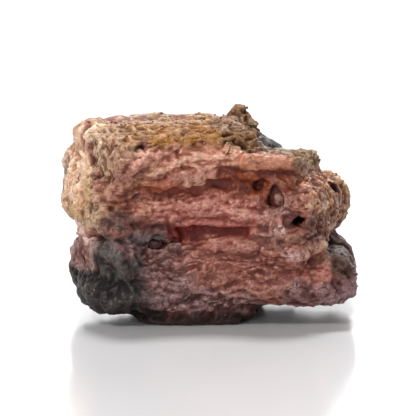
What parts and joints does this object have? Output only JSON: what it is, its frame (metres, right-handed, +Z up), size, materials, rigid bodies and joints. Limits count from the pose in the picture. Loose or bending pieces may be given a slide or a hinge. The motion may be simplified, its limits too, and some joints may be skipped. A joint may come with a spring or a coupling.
{
  "type": "dried lung cube",
  "caption": "Hand-cut cube of air-dried lung: layered cut front with open airways, crumpled skin and a charred corner; a pet treat.",
  "frame": {"origin": "middle of the bounding box of the underside, on the surface that the cube stands on", "axes": "+Z up; the layered cut face looks towards -Y; the cube's longest side runs along X"},
  "size_m": [0.0358, 0.0268, 0.0244],
  "materials": {
    "dried_lung": "rough, a little waxy"
  },
  "bodies": {
    "root": {"lung_cube": "dried_lung"}
  },
  "joints": []
}
